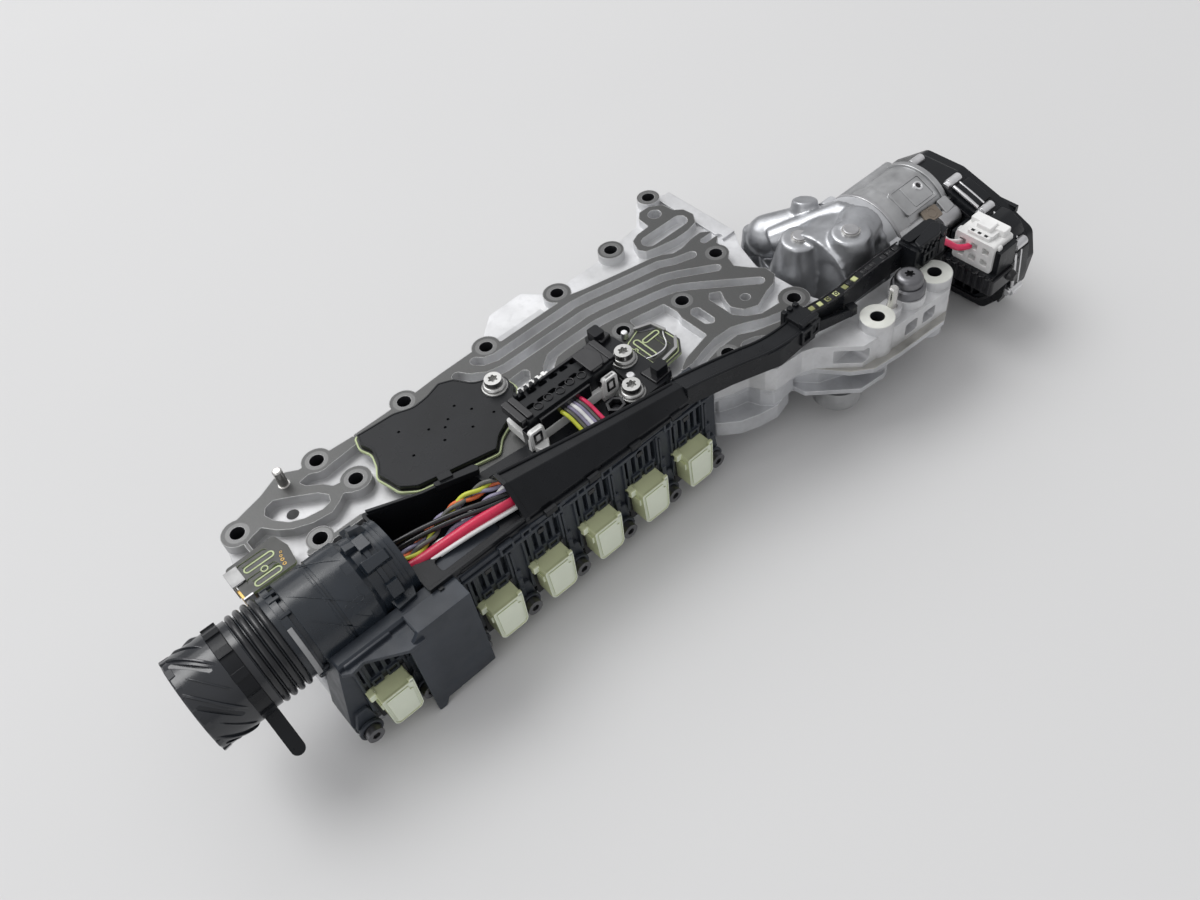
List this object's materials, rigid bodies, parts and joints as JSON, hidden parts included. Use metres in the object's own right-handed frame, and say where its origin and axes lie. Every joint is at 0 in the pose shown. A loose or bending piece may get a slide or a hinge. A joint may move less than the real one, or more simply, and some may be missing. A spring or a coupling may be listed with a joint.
{
  "type": "transmission valve body",
  "caption": "Transmission valve body: cast housing with open oil channels, row of solenoid valves, wire tray, round harness plug and an electric oil pump at one end.",
  "frame": {"origin": "foot of the left dowel pin, on the machined face", "axes": "+X along the body towards the pump, +Z out of the machined face, -Y towards the solenoid side"},
  "size_m": [0.593, 0.2274, 0.1066],
  "materials": {
    "cast_aluminium": "as cast, machined face",
    "plate_steel": "rolled sheet",
    "steel": "turned",
    "dark_steel": "blackened",
    "spring_steel": "drawn wire",
    "magnet": "ground",
    "can_aluminium": "satin",
    "black_plastic": "satin moulded",
    "carrier_plastic": "satin moulded",
    "sleeve_plastic": "satin blue-black",
    "green_plastic": "pale yellow-green",
    "coil_plastic": "moulded",
    "white_plastic": "moulded",
    "board_green": "coated board",
    "seal_rubber": "glossy",
    "contact_brass": "plated",
    "lead_insulation": "smooth",
    "thin_lead_insulation": "smooth"
  },
  "bodies": {
    "valve_body": {"channel_casting": "cast_aluminium", "lower_casting": "cast_aluminium", "pump_housing": "cast_aluminium", "pump_end_plate": "cast_aluminium", "separator_plate": "plate_steel", "dowel_pins": "steel", "bore_plugs": "steel", "motor_stator": "magnet", "motor_can": "can_aluminium", "motor_cover": "black_plastic", "motor_cover_lid": "black_plastic", "cover_clips": "steel", "motor_plug": "white_plastic", "control_board": "board_green", "control_board_cover": "black_plastic", "left_sensor_board": "board_green", "right_sensor_board": "board_green", "board_clips": "steel", "centre_bracket": "black_plastic", "bolt_washers": "dark_steel", "face_bolts": "dark_steel", "flange_bush": "dark_steel", "flange_screw": "dark_steel", "solenoid_carrier": "carrier_plastic", "carrier_bolts": "dark_steel", "solenoid_caps": "green_plastic", "cover_panel": "carrier_plastic", "suction_stub": "can_aluminium", "wire_tray": "black_plastic", "tray_cover": "black_plastic", "cable_channel": "black_plastic", "channel_strip": "black_plastic", "channel_plug": "black_plastic", "plug_holder": "white_plastic", "plug_block": "black_plastic", "connector_barrel": "black_plastic", "contact_pins": "contact_brass", "adapter_sleeve": "sleeve_plastic", "seal_rings": "seal_rubber", "harness_leads": "lead_insulation", "plug_leads": "thin_lead_insulation", "motor_leads": "thin_lead_insulation", "solenoid_1": "coil_plastic", "solenoid_2": "coil_plastic", "solenoid_3": "coil_plastic", "solenoid_4": "coil_plastic", "solenoid_5": "coil_plastic", "solenoid_6": "coil_plastic", "solenoid_7": "coil_plastic", "spool_spring_3": "spring_steel", "spool_spring_5": "spring_steel", "spool_spring_6": "spring_steel"},
    "lock_ring_body": {"lock_ring": "black_plastic"},
    "pump_rotor": {"pump_shaft": "steel", "pump_inner_rotor": "steel", "motor_magnet": "magnet"},
    "outer_rotor": {"pump_outer_rotor": "steel"},
    "spool_3_body": {"spool_3": "steel"},
    "spool_5_body": {"spool_5": "steel"},
    "spool_6_body": {"spool_6": "steel"}
  },
  "joints": [
    {"name": "lock_ring_turn", "type": "hinge", "parent": "valve_body", "child": "lock_ring_body", "pos_m": [-0.08, -0.092, 0], "axis": [1, 0, 0], "range_deg": [0, 60]},
    {"name": "pump_spin", "type": "hinge", "parent": "valve_body", "child": "pump_rotor", "pos_m": [0.384, -0.1, -0.015], "axis": [1, 0, 0], "continuous": true},
    {"name": "outer_rotor_spin", "type": "hinge", "parent": "valve_body", "child": "outer_rotor", "pos_m": [0.384, -0.0985, -0.015], "axis": [1, 0, 0], "continuous": true},
    {"name": "spool_3_slide", "type": "slide", "parent": "valve_body", "child": "spool_3_body", "axis": [0, 1, 0], "range_m": [0, 0.004], "stiffness_N_per_m": 1500, "springref_m": -0.006, "deforming": ["spool_spring_3"]},
    {"name": "spool_5_slide", "type": "slide", "parent": "valve_body", "child": "spool_5_body", "axis": [0, 1, 0], "range_m": [0, 0.004], "stiffness_N_per_m": 1500, "springref_m": -0.006, "deforming": ["spool_spring_5"]},
    {"name": "spool_6_slide", "type": "slide", "parent": "valve_body", "child": "spool_6_body", "axis": [0, 1, 0], "range_m": [0, 0.004], "stiffness_N_per_m": 1500, "springref_m": -0.006, "deforming": ["spool_spring_6"]}
  ],
  "couplings": [
    {"joint": "outer_rotor_spin", "follows": "pump_spin", "ratio": 0.85714}
  ]
}
